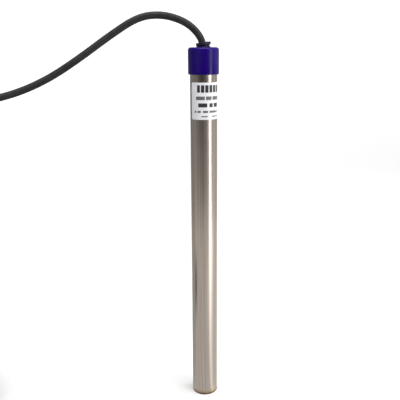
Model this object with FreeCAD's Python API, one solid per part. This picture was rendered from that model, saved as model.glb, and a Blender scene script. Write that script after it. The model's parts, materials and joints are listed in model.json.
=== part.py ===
"""Submersible heater rod: a steel sheath with a plastic cap, a gland and a mains lead.

The rod stands on its closed end. The origin is the centre of that end, +Z up, millimetres.
Every function makes one named piece, or one group of identical pieces, and writes it.
"""
import FreeCAD, Part
import math
import os

V = FreeCAD.Vector
Z = V(0, 0, 1)
ORIGIN = V(0, 0, 0)

# ---- driving dimensions ---------------------------------------------------------------------
TUBE_R = 14.0          # outside radius of the stainless sheath
TUBE_WALL = 0.8
TUBE_TOP = 380.0
WELD_H = 2.4           # height of the weld bead round the closed end
WELD_ROUND = 0.7       # radius of its lower edge
DISC_T = 2.0

CAP_R = 15.925
CAP_BOTTOM = 363.1
CAP_TOP = 390.1
CAP_ROOF = 4.1         # thickness of the cap's top wall
CAP_TOP_FILLET = 2.8
CAP_BOTTOM_FILLET = 1.6

GLAND_FOOT_H = 2.0     # flange under the cap's top wall
GLAND_RIM_R = 7.25     # rim that lies on the cap
GLAND_RIM_H = 1.2
GLAND_NECK_R = 6.0     # neck through the cap's top wall, and the groove above it
GLAND_GROOVE_H = 0.8
GLAND_FLANGE_R = 7.5
GLAND_FLANGE_H = 2.9
GLAND_FLANGE_ROUND = 0.7
GLAND_NECK_IN = 0.6    # how far the neck runs up into the tilted flange
GLAND_TILT = 7.0       # degrees, towards the side the lead leaves to

LABEL_T = 0.12
LABEL_BOTTOM = 318.0
LABEL_TOP = 355.5
LABEL_FROM = -60.0     # degrees from the front, negative towards -X
LABEL_TO = 114.0

BOBBIN_R = 11.0
BOBBIN_H = 44.0
BOBBINS = 5
HOLES = 6              # through holes for the heating coil
HOLE_PITCH_R = 7.6
HOLE_R = 1.8
COIL_R = 1.55          # outside radius of the wound resistance wire
ROD_R = 2.0            # M4 tie rod
SPACER_T = 1.8
SAND_FLOOR = 6.0
SAND_TOP = 250.0

CORD_R = 3.6           # mains lead, 7.2 mm outside
CORE_R = 1.2
CORE_PITCH_R = 2.2     # from the lead's middle to each core's
CORD_PITCH = 7.3       # from turn to turn in the coil
COIL_COLUMNS = 4
COIL_ROWS = 4
COIL_MEAN_R = 40.0     # middle of the turns
COIL_AT = V(-290.5, -30.0, 0)
TIE_T = 0.9            # the strap under the coil, which the coil rests on
TIE_W = 12.0

PLUG_R = 18.5          # barrel round the pins' face
PLUG_TURN = -70.0      # degrees from +X, the way the plug's pins point
PLUG_SIDE = 22.0       # from the coil's centre to the plug's axis
PLUG_TAIL = -19.0      # along the plug's axis, from abreast of the coil's centre
RELIEF_L = 22.0        # tapered sleeve on the lead
RELIEF_TAIL_R = 4.6
RELIEF_HEAD_R = 6.2
GRIP_L = 26.0
GRIP_TAIL_R = 9.0
GRIP_HEAD_R = 12.5
SHOULDER_L = 4.0       # slope from the grip out to the barrel
BARREL_L = 14.0
EARTH_SLOT_W = 6.0     # slots down two sides of the barrel, with an earth strip in each
EARTH_SLOT_D = 2.2
EARTH_STRIP_W = 4.0
EARTH_STRIP_T = 0.8
PIN_R = 2.4
PIN_L = 19.0
PIN_ROOT_R = 1.9       # thinner root, moulded into the plug's body
PIN_ROOT_L = 8.0
PIN_TIP_ROUND = 1.2
PIN_SPACING = 19.0

# ---- worked out from them -------------------------------------------------------------------
BORE_R = TUBE_R - TUBE_WALL
STACK_BOTTOM = SAND_FLOOR + 8.0                  # underside of the first former
STACK_TOP = STACK_BOTTOM + BOBBINS * BOBBIN_H
NUT_H = 3.2
NUT_ACROSS = 7.0
WASHER_R = 4.5
WASHER_T = 0.8
RESIN_BOTTOM = 362.0
RESIN_TOP = 383.0
STOPPER_BOTTOM = 345.0
CORD_START = 376.0                               # end of the lead's jacket, inside the resin
COIL_BOTTOM = TIE_T
COIL_TOP = COIL_BOTTOM + COIL_ROWS * CORD_PITCH
COIL_IN_R = COIL_MEAN_R - COIL_COLUMNS / 2 * CORD_PITCH
COIL_OUT_R = COIL_MEAN_R + COIL_COLUMNS / 2 * CORD_PITCH
PLUG_AXIS_Z = COIL_TOP + TIE_T + PLUG_R
PLUG_DIR = V(math.cos(math.radians(PLUG_TURN)), math.sin(math.radians(PLUG_TURN)), 0)
PLUG_OUT = V(-PLUG_DIR.y, PLUG_DIR.x, 0)         # from the coil's centre towards the plug
PLUG_TAIL_AT = COIL_AT + PLUG_OUT * PLUG_SIDE + PLUG_DIR * PLUG_TAIL + Z * PLUG_AXIS_Z

# The lead from the gland, over and down on to the coil's outer top turn.
CORD_ROUTE = [
    (0, 0, CORD_START), (0, 0, 387), (-1.6, -0.2, 398.2), (-10.2, -0.9, 409), (-21.8, -2.3, 416.6),
    (-41.3, -5.5, 422), (-64.5, -9.5, 419.6), (-93, -15.5, 401.3), (-122, -22, 380.3),
    (-152.5, -29, 360.6), (-184, -37, 347), (-216, -46, 340.2), (-252, -59, 327), (-286, -75, 298),
    (-316, -78, 252), (-338, -57, 202), (-342, -20, 152), (-324, 12, 108), (-289, 21, 72),
    (-256, 9, 47), (-240.5, -17, 32), (-241, -44, 27),
]

# The lead from the coil's inner top turn, round over the coil and into the plug's tail.
TAIL_ROUTE = [
    (-283.5, -59, 28.5), (-302.5, -60, 31.5), (-322.5, -54.5, 34), (-342, -41, 36),
    (-349.5, -18.5, 38.5), (-343, 4.5, 41), (-324.5, 19, 44), (-300.5, 20, 47.5),
    (-280.4, 6.6, 49.5), (-272.2, -15.9, 49.5),
]


def save(name, *solids):
    """Write one piece, or one group of separate pieces."""
    shape = solids[0] if len(solids) == 1 else Part.makeCompound(list(solids))
    shape.exportStep(f"parts/{name}.step")


def rod(radius, bottom, top, x=0.0, y=0.0):
    return Part.makeCylinder(radius, top - bottom, V(x, y, bottom))


def ring(inner, outer, bottom, top, x=0.0, y=0.0):
    return rod(outer, bottom, top, x, y).cut(rod(inner, bottom, top, x, y))


def revolved(edges):
    """A closed outline in the XZ plane, turned about Z."""
    return Part.Face(Part.Wire(edges)).revolve(ORIGIN, Z, 360)


def line(a, b):
    return Part.LineSegment(V(a[0], 0, a[1]), V(b[0], 0, b[1])).toShape()


def outline(*points):
    """Straight edges through (radius, height) points, closed."""
    return [line(a, b) for a, b in zip(points, points[1:] + points[:1])]


def around(count, radius, start=0.0):
    """Places evenly round the axis."""
    for k in range(count):
        turn = math.radians(start + 360.0 * k / count)
        yield radius * math.cos(turn), radius * math.sin(turn)


def route_wire(points, share=0.45):
    """Straight runs joined by tangent arcs; returns the wire and the arcs' radii."""
    points = [V(*p) for p in points]
    edges, radii = [], []
    at = points[0]
    for before, corner, after in zip(points, points[1:], points[2:]):
        back, ahead = before - corner, after - corner
        reach = share * min(back.Length, ahead.Length)
        back.normalize()
        ahead.normalize()
        half_turn = (math.pi - back.getAngle(ahead)) / 2
        radius = reach / math.tan(half_turn)
        start, end = corner + back * reach, corner + ahead * reach
        inward = back + ahead
        inward.normalize()
        middle = corner + inward * (radius / math.cos(half_turn) - radius)
        edges.append(Part.LineSegment(at, start).toShape())
        edges.append(Part.Arc(start, middle, end).toShape())
        radii.append(radius)
        at = end
    edges.append(Part.LineSegment(at, points[-1]).toShape())
    return Part.Wire(edges), radii


def route_tube(points, radius):
    """A round tube along a route."""
    wire, radii = route_wire(points)
    start = V(*points[0])
    section = Part.Wire(Part.Circle(start, V(*points[1]) - start, radius).toShape())
    return wire.makePipeShell([section], True, False, 1), wire, radii


def lead(name, points, radius):
    """Write a lead's tube and print how well it was made."""
    tube, wire, radii = route_tube(points, radius)
    expected = math.pi * radius ** 2 * wire.Length
    print(f"{name}: length {wire.Length:.1f}, volume share {tube.Volume / expected:.4f}, "
          f"radii {' '.join(f'{r:.0f}' for r in radii)}")
    save(name, tube)
    return wire.Length


# ---- shell ----------------------------------------------------------------------------------
def sheath():
    save("sheath_tube", ring(BORE_R, TUBE_R, WELD_H, TUBE_TOP))
    save("end_disc", rod(BORE_R, 0, DISC_T))


def weld():
    """The bead that joins the end disc to the sheath, dressed flush and rounded below."""
    bend = WELD_ROUND * (1 - math.cos(math.pi / 4))
    save("end_weld", revolved([
        line((BORE_R, 0), (TUBE_R - WELD_ROUND, 0)),
        Part.Arc(V(TUBE_R - WELD_ROUND, 0, 0), V(TUBE_R - bend, 0, bend),
                 V(TUBE_R, 0, WELD_ROUND)).toShape(),
        line((TUBE_R, WELD_ROUND), (TUBE_R, WELD_H)),
        line((TUBE_R, WELD_H), (BORE_R, WELD_H)),
        line((BORE_R, WELD_H), (BORE_R, 0)),
    ]))


def label():
    """A thin foil plate wrapped part of the way round the sheath."""
    turn = LABEL_TO - LABEL_FROM
    plate = Part.Face(Part.Wire(outline(
        (TUBE_R, LABEL_BOTTOM), (TUBE_R + LABEL_T, LABEL_BOTTOM),
        (TUBE_R + LABEL_T, LABEL_TOP), (TUBE_R, LABEL_TOP))))
    plate = plate.revolve(ORIGIN, Z, turn)
    plate.rotate(ORIGIN, Z, LABEL_FROM - 90)
    save("rating_label", plate)


def cap():
    outer = rod(CAP_R, CAP_BOTTOM, CAP_TOP)
    top = [e for e in outer.Edges if e.CenterOfMass.z > CAP_TOP - 0.1 and len(e.Vertexes) == 1]
    outer = outer.makeFillet(CAP_TOP_FILLET, top)
    low = [e for e in outer.Edges if e.CenterOfMass.z < CAP_BOTTOM + 0.1 and len(e.Vertexes) == 1]
    outer = outer.makeFillet(CAP_BOTTOM_FILLET, low)
    outer = outer.cut(rod(TUBE_R, CAP_BOTTOM, CAP_TOP - CAP_ROOF))
    save("cap", outer.cut(rod(GLAND_NECK_R, CAP_TOP - CAP_ROOF, CAP_TOP)))


def gland():
    """A moulded rubber gland: foot under the cap's roof, neck, rim, groove and a tilted flange."""
    roof = CAP_TOP - CAP_ROOF
    groove_top = CAP_TOP + GLAND_RIM_H + GLAND_GROOVE_H
    body = rod(GLAND_RIM_R, roof - GLAND_FOOT_H, roof)
    body = body.fuse(rod(GLAND_NECK_R, roof, groove_top + GLAND_NECK_IN))
    body = body.fuse(rod(GLAND_RIM_R, CAP_TOP, CAP_TOP + GLAND_RIM_H))
    flange = Part.makeCylinder(GLAND_FLANGE_R, GLAND_FLANGE_H, V(0, 0, groove_top))
    edges = [e for e in flange.Edges if len(e.Vertexes) == 1]
    flange = flange.makeFillet(GLAND_FLANGE_ROUND, edges)
    flange.rotate(V(0, 0, groove_top), V(0, 1, 0), -GLAND_TILT)
    body = body.fuse(flange).cut(route_tube(CORD_ROUTE[:5], CORD_R)[0])
    save("cable_gland", body.removeSplitter())


def stopper_and_resin():
    """A rubber stopper in the sheath's mouth, and cast resin above it round the lead's end."""
    cores = [rod(CORE_R, STOPPER_BOTTOM, CORD_START, x, y) for x, y in around(3, CORE_PITCH_R, 90)]
    save("sealing_plug", rod(BORE_R, STOPPER_BOTTOM, RESIN_BOTTOM).cut(cores))
    resin = rod(BORE_R, RESIN_BOTTOM, RESIN_TOP)
    save("potting", resin.cut(cores + [rod(CORD_R, CORD_START, RESIN_TOP)]))


# ---- heating cartridge ----------------------------------------------------------------------
def holes(bottom, top, radius=HOLE_R):
    return [rod(radius, bottom, top, x, y) for x, y in around(HOLES, HOLE_PITCH_R)]


def formers():
    for k in range(BOBBINS):
        low = STACK_BOTTOM + k * BOBBIN_H
        former = rod(BOBBIN_R, low, low + BOBBIN_H)
        former = former.cut([rod(ROD_R + 0.1, low, low + BOBBIN_H)] + holes(low, low + BOBBIN_H))
        save(f"ceramic_bobbin_{k + 1}", former)


def link_slot(first, bottom, top):
    """A slot between two neighbouring holes, which a turn of the heating coil passes through."""
    places = list(around(HOLES, HOLE_PITCH_R))
    a, b = places[first], places[(first + 1) % HOLES]
    length = math.dist(a, b)
    bar = Part.makeBox(length, 2 * HOLE_R, top - bottom, V(0, -HOLE_R, 0))
    bar.rotate(ORIGIN, Z, math.degrees(math.atan2(b[1] - a[1], b[0] - a[0])))
    bar.translate(V(a[0], a[1], bottom))
    return bar


def spacers():
    low, high = STACK_BOTTOM - SPACER_T, STACK_BOTTOM
    disc = rod(BOBBIN_R, low, high).cut([rod(ROD_R + 0.1, low, high)] + holes(low, high))
    save("lower_spacer", disc.cut([link_slot(k, low, high) for k in (0, 2, 4)]))
    low, high = STACK_TOP, STACK_TOP + SPACER_T
    disc = rod(BOBBIN_R, low, high).cut([rod(ROD_R + 0.1, low, high)] + holes(low, high))
    save("upper_spacer", disc.cut([link_slot(k, low, high) for k in (1, 3)]))


def tie_rod():
    bottom = STACK_BOTTOM - SPACER_T
    top = STACK_TOP + SPACER_T
    save("tie_rod", rod(ROD_R, bottom - WASHER_T - NUT_H - 1.5, top + WASHER_T + NUT_H + 3))
    save("tie_rod_washers", ring(ROD_R, WASHER_R, bottom - WASHER_T, bottom),
         ring(ROD_R, WASHER_R, top, top + WASHER_T))
    nuts = []
    for low in (bottom - WASHER_T - NUT_H, top + WASHER_T):
        corners = [V(x, y, low) for x, y in around(6, NUT_ACROSS / math.sqrt(3))]
        hexagon = Part.Face(Part.makePolygon(corners + corners[:1]))
        nuts.append(hexagon.extrude(V(0, 0, NUT_H)).cut(rod(ROD_R, low, low + NUT_H)))
    save("tie_rod_nuts", *nuts)


def heating_coil():
    """Resistance wire wound on itself, shown by its outside: six legs and their turns."""
    places = list(around(HOLES, HOLE_PITCH_R))
    lead_end = STACK_TOP - 4
    body = None
    for k, (x, y) in enumerate(places):
        top = lead_end if k in (0, HOLES - 1) else STACK_TOP
        leg = rod(COIL_R, STACK_BOTTOM, top, x, y)
        body = leg if body is None else body.fuse(leg)
    for k in range(HOLES - 1):
        a, b = places[k], places[k + 1]
        z, side = (STACK_BOTTOM, -1) if k % 2 == 0 else (STACK_TOP, 1)
        middle = V((a[0] + b[0]) / 2, (a[1] + b[1]) / 2, z)
        half = math.dist(a, b) / 2
        path = Part.Wire(Part.Arc(V(a[0], a[1], z), middle + Z * side * half, V(b[0], b[1], z)).toShape())
        section = Part.Wire(Part.Circle(V(a[0], a[1], z), Z, COIL_R).toShape())
        body = body.fuse(path.makePipeShell([section], True, False))
    save("heating_coil", body.removeSplitter())


def sand():
    bed = rod(BORE_R, DISC_T, SAND_TOP)
    save("quartz_sand", bed.cut(rod(BOBBIN_R, SAND_FLOOR, SAND_TOP)))


# ---- wiring ---------------------------------------------------------------------------------
PIN_PLACES = [list(around(HOLES, HOLE_PITCH_R))[k] for k in (0, HOLES - 1)]
LEAD_PIN_TOP = 260.0
SLEEVE_TOP = 256.0
CRIMP_TOP = 264.0


def lead_pins():
    low = STACK_TOP - 4
    save("lead_pins", *[rod(CORE_R, low, LEAD_PIN_TOP, x, y) for x, y in PIN_PLACES])
    low = STACK_TOP + SPACER_T
    save("pin_sleeves", *[ring(CORE_R, 2.3, low, SLEEVE_TOP, x, y) for x, y in PIN_PLACES])
    save("splice_crimps", *[ring(CORE_R, 1.9, SLEEVE_TOP, CRIMP_TOP, x, y) for x, y in PIN_PLACES])


# ---- thermal cut-out ------------------------------------------------------------------------
CASE = (-8.5, 2.5, -4.5, 4.5, 279.0, 305.0)   # x, y and z limits of the case
CASE_WALL = 1.0
BLADE_X = 0.0         # outer face of the fixed contact's blade
ARM_X = -3.2          # the closed arm's middle plane
ARM_PIVOT_Z = 300.5
ARM_PIVOT_R = 0.5
ARM_T = 0.4
ARM_W = 3.6
ARM_TIP_Z = 283.0
CONTACT_R = 1.2
CONTACT_T = 0.8
CONTACT_GAP = 0.1
CONTACT_Z = 284.5
TAB_T = 0.5           # sheet the blade and the tab are cut from
TAB_W = 3.0
TAB_OUT = 5.0         # how far they stand out of the case
BOSS_R = 1.1


def box(x0, x1, y0, y1, z0, z1):
    return Part.makeBox(x1 - x0, y1 - y0, z1 - z0, V(x0, y0, z0))


def cross_rod(radius, x, z, y0, y1):
    return Part.makeCylinder(radius, y1 - y0, V(x, y0, z), V(0, 1, 0))


def button(x0, x1):
    return Part.makeCylinder(CONTACT_R, x1 - x0, V(x0, 0, CONTACT_Z), V(1, 0, 0))


def cutout():
    """The thermal cut-out: a case, its cover, a fixed contact and a sprung bimetal arm."""
    x0, x1, y0, y1, z0, z1 = CASE
    w = CASE_WALL
    blade = box(BLADE_X, BLADE_X + TAB_T, -TAB_W / 2, TAB_W / 2, z0 - TAB_OUT, CONTACT_Z + 2)
    low_tab = blade.common(box(x0, x1, y0, y1, z0 - TAB_OUT, z0 + w))
    high_tab = box(ARM_X - TAB_T / 2, ARM_X + TAB_T / 2, -TAB_W / 2, TAB_W / 2, z1 - w, z1 + TAB_OUT)
    pin = cross_rod(ARM_PIVOT_R, ARM_X, ARM_PIVOT_Z, y0, y1)
    case = box(x0, x1, y0 + w, y1, z0, z1).cut(box(x0 + w, x1 - w, y0 + w, y1 - w, z0 + w, z1 - w))
    save("cutout_case", case.cut([low_tab, high_tab, pin]))
    save("cutout_cover", box(x0, x1, y0, y0 + w, z0, z1).cut(pin))
    save("arm_pivot", pin)
    save("cutout_tab", high_tab)
    face = ARM_X + ARM_T / 2 + CONTACT_T + CONTACT_GAP
    save("fixed_contact", blade.fuse(button(face, BLADE_X)).removeSplitter())
    strip = box(ARM_X - ARM_T / 2, ARM_X + ARM_T / 2, -ARM_W / 2, ARM_W / 2, ARM_TIP_Z, ARM_PIVOT_Z)
    boss = cross_rod(BOSS_R, ARM_X, ARM_PIVOT_Z, -ARM_W / 2, ARM_W / 2)
    arm = strip.fuse([boss, button(ARM_X + ARM_T / 2 - 0.1, ARM_X + ARM_T / 2 + CONTACT_T)])
    arm = arm.removeSplitter().cut(cross_rod(ARM_PIVOT_R + 0.05, ARM_X, ARM_PIVOT_Z, y0, y1))
    save("bimetal_arm", arm)


def cores():
    """The three cores from the lead's end, and the short jumper to the cut-out."""
    z0, z1 = CASE[4], CASE[5]
    top = [V(x, y, CORD_START) for x, y in around(3, CORE_PITCH_R, 90)]
    tab = V(BLADE_X + TAB_T / 2, 0, z0 - TAB_OUT)
    (px, py), (qx, qy) = PIN_PLACES
    runs = {
        "cutout_jumper": [(px, py, LEAD_PIN_TOP), (px, py, 268), (tab.x, 0, 269), tuple(tab)],
        "live_core": [(ARM_X, 0, z1 + TAB_OUT), (ARM_X, 0, 316), (top[1].x, top[1].y, 334),
                      (top[1].x, top[1].y, CORD_START)],
        "neutral_core": [(qx, qy, LEAD_PIN_TOP), (qx, qy, 306), (top[2].x, top[2].y, 330),
                         (top[2].x, top[2].y, CORD_START)],
        "earth_core": [(9.2, 6.0, 312), (9.2, 6.0, 318), (top[0].x, top[0].y, 334),
                       (top[0].x, top[0].y, CORD_START)],
    }
    for name, points in runs.items():
        save(name, route_tube(points, CORE_R)[0])


def earth_tag():
    """A steel strip welded to the bore, with the earth core's eyelet riveted to it."""
    tag = ring(BORE_R - 0.6, BORE_R, 296, 316).common(box(0, 20, 2, 12, 290, 320))
    save("earth_tag", tag)


# ---- mains lead -----------------------------------------------------------------------------
def coil():
    """The outside shape of the lead's put-away turns."""
    bundle = ring(COIL_IN_R, COIL_OUT_R, COIL_BOTTOM, COIL_TOP)
    edges = [e for e in bundle.Edges if len(e.Vertexes) == 1]
    bundle = bundle.makeFillet(CORD_R - 0.2, edges)
    bundle.translate(COIL_AT)
    save("cord_coil", bundle)


def ties():
    """Two straps round the coil's bundle of turns."""
    t = TIE_T
    width, height = COIL_OUT_R - COIL_IN_R, COIL_TOP - COIL_BOTTOM
    for k, turn in enumerate((-38.0, 142.0)):
        outer = box(-t, width + t, -TIE_W / 2, TIE_W / 2, -t, height + t)
        outer = outer.makeFillet(CORD_R + t - 0.2, [e for e in outer.Edges if abs(e.tangentAt(0).y) > 0.9])
        inner = box(0, width, -TIE_W, TIE_W, 0, height)
        inner = inner.makeFillet(CORD_R - 0.2, [e for e in inner.Edges if abs(e.tangentAt(0).y) > 0.9])
        band = outer.cut(inner)
        # the bundle is round and the strap flat, so what would run into the bundle is cut away
        band.translate(V(COIL_IN_R, 0, COIL_BOTTOM))
        bundle = ring(COIL_IN_R, COIL_OUT_R, COIL_BOTTOM, COIL_TOP)
        band = band.cut(bundle.makeFillet(CORD_R - 0.2, [e for e in bundle.Edges if len(e.Vertexes) == 1]))
        band.rotate(ORIGIN, Z, turn)
        band.translate(COIL_AT)
        save(f"coil_tie_{k + 1}", band)


def along_plug(shape):
    """Turn a piece made along +Z, tail at the origin, on to the plug's place."""
    shape.rotate(ORIGIN, V(0, 1, 0), 90)
    shape.rotate(ORIGIN, Z, PLUG_TURN)
    shape.translate(PLUG_TAIL_AT)
    return shape


def plug():
    """A moulded earthed mains plug, lying on the coil."""
    grip_end = RELIEF_L + GRIP_L
    face = grip_end + BARREL_L
    relief = revolved(outline((CORD_R, 0), (RELIEF_TAIL_R, 0), (RELIEF_HEAD_R, RELIEF_L), (CORD_R, RELIEF_L)))
    save("plug_relief", along_plug(relief))
    body = revolved(outline((0, RELIEF_L), (GRIP_TAIL_R, RELIEF_L), (GRIP_HEAD_R, grip_end - SHOULDER_L),
                            (PLUG_R, grip_end), (PLUG_R, face), (0, face)))
    sides = [box(-EARTH_SLOT_W / 2, EARTH_SLOT_W / 2, s * PLUG_R - EARTH_SLOT_D, s * PLUG_R + EARTH_SLOT_D,
                 grip_end - 1, face + 1) for s in (-1, 1)]
    pins, strips = [], []
    for s in (-1, 1):
        x = s * PIN_SPACING / 2
        shank = rod(PIN_R, face, face + PIN_L, x)
        tip = [e for e in shank.Edges if e.CenterOfMass.z > face + PIN_L - 0.1 and len(e.Vertexes) == 1]
        pins.append(shank.makeFillet(PIN_TIP_ROUND, tip).fuse(rod(PIN_ROOT_R, face - PIN_ROOT_L, face, x)))
        inner, outer = sorted((s * (PLUG_R - EARTH_SLOT_D), s * (PLUG_R - EARTH_SLOT_D + EARTH_STRIP_T)))
        strips.append(box(-EARTH_STRIP_W / 2, EARTH_STRIP_W / 2, inner, outer, grip_end + 1.5, face))
    body = body.cut(sides + pins)
    save("plug_body", along_plug(body))
    save("plug_pins", *[along_plug(p) for p in pins])
    save("plug_earth_strips", *[along_plug(s) for s in strips])


def main():
    os.makedirs("parts", exist_ok=True)
    sheath()
    weld()
    label()
    cap()
    gland()
    stopper_and_resin()
    formers()
    spacers()
    tie_rod()
    heating_coil()
    sand()
    lead_pins()
    cutout()
    cores()
    earth_tag()
    total = lead("power_cord", CORD_ROUTE, CORD_R)
    coil()
    ties()
    total += lead("cord_tail", TAIL_ROUTE, CORD_R)
    plug()
    turns = COIL_COLUMNS * COIL_ROWS * 2 * math.pi * COIL_MEAN_R
    print(f"lead in all {total + turns:.0f} mm, coil {COIL_IN_R:.1f} to {COIL_OUT_R:.1f}, top {COIL_TOP:.1f}")


main()
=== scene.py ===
"""Looks for the submersible heater rod: sheath, foot, label, cap, gland, mains lead and plug.

Everything is in metres in the part's frame: origin at the closed end, +Z up the rod.
"""
import json
import math

import bpy
from mathutils import Matrix, Vector


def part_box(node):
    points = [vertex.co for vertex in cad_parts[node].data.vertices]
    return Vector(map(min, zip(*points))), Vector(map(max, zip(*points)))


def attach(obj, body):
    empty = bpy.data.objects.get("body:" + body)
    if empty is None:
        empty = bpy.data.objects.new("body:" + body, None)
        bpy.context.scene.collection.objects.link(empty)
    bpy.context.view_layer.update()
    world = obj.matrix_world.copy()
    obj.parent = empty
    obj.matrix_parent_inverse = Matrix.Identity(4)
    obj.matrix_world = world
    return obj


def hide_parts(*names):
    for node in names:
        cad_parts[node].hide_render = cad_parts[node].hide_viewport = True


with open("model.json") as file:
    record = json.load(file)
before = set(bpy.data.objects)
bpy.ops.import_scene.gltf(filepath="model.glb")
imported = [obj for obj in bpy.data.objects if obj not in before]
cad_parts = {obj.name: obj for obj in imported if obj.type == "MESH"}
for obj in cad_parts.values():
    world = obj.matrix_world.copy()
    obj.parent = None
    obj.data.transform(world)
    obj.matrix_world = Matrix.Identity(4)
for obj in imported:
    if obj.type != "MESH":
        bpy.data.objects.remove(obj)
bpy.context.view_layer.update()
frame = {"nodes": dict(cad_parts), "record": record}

MM = 0.001
HEATER = "heater"

# ---- sizes taken from the frame -------------------------------------------------------------
TUBE_LOW, TUBE_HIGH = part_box("sheath_tube")
CAP_LOW, CAP_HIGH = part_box("cap")
LABEL_LOW, LABEL_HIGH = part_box("rating_label")
COIL_LOW, COIL_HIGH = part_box("cord_coil")

WELD_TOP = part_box("end_weld")[1].z
TUBE_R = (TUBE_HIGH.x - TUBE_LOW.x) / 2
CAP_R = (CAP_HIGH.x - CAP_LOW.x) / 2
COIL_MID = (COIL_LOW + COIL_HIGH) / 2

# ---- sheath, cap and gland ------------------------------------------------------------------
TUBE_WALL = 0.8 * MM
WELD_PROUD = 0.03 * MM        # how far the dressed weld stands out of the sheath
WELD_RIPPLE = 0.016 * MM
HEAT_LINE = 7.2 * MM          # how far up the foot the weld's heat has tinted the steel
HEAT_WOBBLE = 1.8 * MM        # how ragged the tint's upper line is
CAP_RECESS = 0.35 * MM        # depth of the flat hollow in the cap's top
CAP_RECESS_R = 8.1 * MM
CAP_HOLE_R = 6.0 * MM
GLAND_TILT = 7.0              # degrees that the lead pulls the gland's flange over
GLAND_FOOT_R = 7.2 * MM
GLAND_NECK_R = 6.1 * MM
GLAND_FLANGE_R = 7.5 * MM

# ---- the label ------------------------------------------------------------------------------
LABEL_FROM, LABEL_TO = -60.0, 114.0     # degrees from the front, positive towards +X
LABEL_CORNER = 1.6 * MM
LABEL_BACK, LABEL_FACE = TUBE_R + 0.01 * MM, TUBE_R + 0.13 * MM
INK_SUNK, INK_PROUD = 0.005 * MM, 0.012 * MM     # how far a bar goes into the foil and stands out of it

# ---- the lead -------------------------------------------------------------------------------
CORD_D = 7.2 * MM
CORD_PITCH = 7.3 * MM
COIL_COLUMNS = 4
COIL_ROWS = 4
COIL_MEAN_R = 40.0 * MM
COIL_START = -38.0            # degrees round the coil where its first turn begins and its last one ends
POINTS_A_TURN = 16

# the lead's routes, in mm: from the gland down to the coil, and from the coil up into the plug
CORD_ROUTE = [
    (0, 0, 376), (0, 0, 387), (-1.6, -0.2, 398.2), (-10.2, -0.9, 409), (-21.8, -2.3, 416.6),
    (-41.3, -5.5, 422), (-64.5, -9.5, 419.6), (-93, -15.5, 401.3), (-122, -22, 380.3),
    (-152.5, -29, 360.6), (-184, -37, 347), (-216, -46, 340.2), (-252, -59, 327), (-286, -75, 298),
    (-316, -78, 252), (-338, -57, 202), (-342, -20, 152), (-324, 12, 108), (-289, 21, 72),
    (-256, 9, 47), (-240.5, -17, 32), (-241, -44, 27),
]
TAIL_ROUTE = [
    (-283.5, -59, 28.5), (-302.5, -60, 31.5), (-322.5, -54.5, 34), (-342, -41, 36),
    (-349.5, -18.5, 38.5), (-343, 4.5, 41), (-324.5, 19, 44), (-300.5, 20, 47.5),
    (-280.4, 6.6, 49.5), (-272.2, -15.9, 49.5),
]

# ---- the plug: its axis, and distances along it from the tail ------------------------------
PLUG_TURN = -70.0
PLUG_TAIL_AT = Vector((-276.325, -4.621, 49.5)) * MM
RELIEF_L, GRIP_L, BARREL_L = 22 * MM, 26 * MM, 14 * MM
PLUG_R = 18.5 * MM
GRIP_END = RELIEF_L + GRIP_L
PLUG_FACE = GRIP_END + BARREL_L
PLUG_CORE_R = 0.2 * MM        # the body's outline starts and ends this close to its axis
CORD_HOLE_R = 3.5 * MM        # the hole through the strain relief
GRIP_RIBS, GRIP_RIB_PITCH = 5, 3.0 * MM
RELIEF_RIBS, RELIEF_RIB_PITCH = 6, RELIEF_L / 6.4
PIN_R, PIN_L, PIN_SPACING = 2.4 * MM, 19 * MM, 19 * MM
PIN_TIP_ROUND = 1.5 * MM


# ---- small helpers --------------------------------------------------------------------------
def smoothstep(t):
    """Ease from 0 to 1 as t goes from 0 to 1, and stay there beyond both ends."""
    t = min(max(t, 0.0), 1.0)
    return t * t * (3 - 2 * t)


def around_rod(turn, distance, height):
    """A point at a distance from the rod's axis: turn in degrees from the front, positive towards +X."""
    a = math.radians(turn)
    return Vector((distance * math.sin(a), -distance * math.cos(a), height))


def add_mesh(name, vertices, faces, material, body=HEATER, node=None, slot=None):
    """Make a smooth-shaded piece that rides on a body and may stand for a CAD node."""
    mesh = bpy.data.meshes.new(name)
    mesh.from_pydata([tuple(v) for v in vertices], [], faces)
    mesh.validate()
    mesh.shade_smooth()
    mesh.materials.append(material)
    piece = bpy.data.objects.new(name, mesh)
    bpy.context.collection.objects.link(piece)
    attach(piece, body)
    if node:
        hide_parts(node)
    return piece


def fillet(points, steps=6):
    """Round the corners of an open (radius, height[, rounding]) outline, all in metres."""
    out = []
    for k, point in enumerate(points):
        if len(point) < 3 or k in (0, len(points) - 1):
            out.append((point[0], point[1]))
            continue
        corner = Vector(point[:2])
        back = Vector(points[k - 1][:2]) - corner
        ahead = Vector(points[k + 1][:2]) - corner
        half = back.angle(ahead) / 2
        under_half = 0.49           # of each side, so that two corners never meet
        reach = min(point[2] / math.tan(half), back.length * under_half, ahead.length * under_half)
        radius = reach * math.tan(half)
        inward = (back.normalized() + ahead.normalized()).normalized()
        centre = corner + inward * (radius / math.sin(half))
        start = corner + back.normalized() * reach - centre
        end = corner + ahead.normalized() * reach - centre
        turn = start.angle_signed(end)
        for step in range(steps + 1):
            spoke = Matrix.Rotation(-turn * step / steps, 2) @ start
            out.append(tuple(centre + spoke))
    return out


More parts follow.
